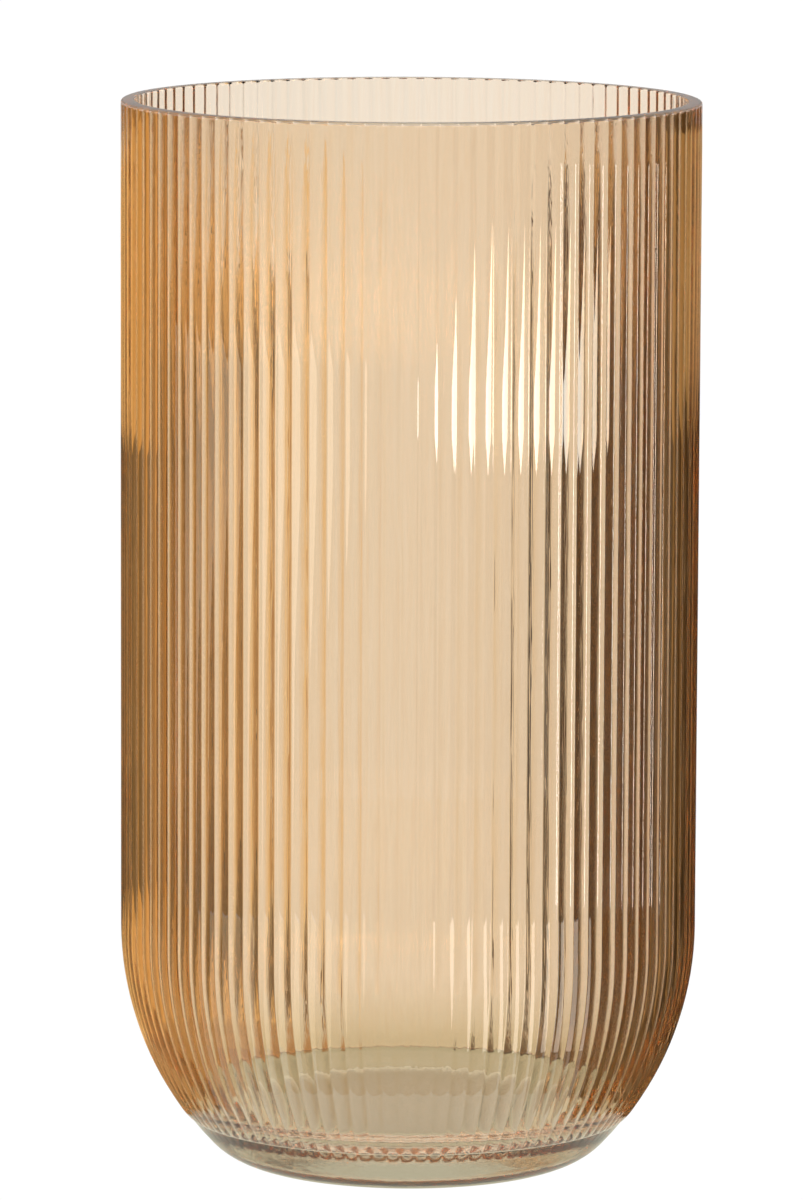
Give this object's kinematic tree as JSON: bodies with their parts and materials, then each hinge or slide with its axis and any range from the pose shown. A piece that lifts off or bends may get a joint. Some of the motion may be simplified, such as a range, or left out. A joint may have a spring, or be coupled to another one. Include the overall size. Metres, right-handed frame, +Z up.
{
  "type": "vase",
  "caption": "Tall cylindrical glass vase with fine upright reeds, a rounded foot, a heavy clear base, a cut rim and an amber lustre coat, for holding cut stems in water.",
  "frame": {"origin": "centre of the flat underside of the base, on the surface that the vase stands on", "axes": "+Z up along the vase's axis to the mouth; +X and +Y level, the vase being the same all the way round"},
  "size_m": [0.19, 0.19, 0.352],
  "materials": {
    "clear_glass": "clear soda glass, fire-polished outside, cut and polished rim, very slight grey-green cast",
    "amber_lustre": "thin transparent amber lustre coat, glossy, fired onto the outside of the reeded wall"
  },
  "bodies": {
    "root": {"glass_body": "clear_glass", "amber_coat": "amber_lustre"}
  },
  "joints": []
}
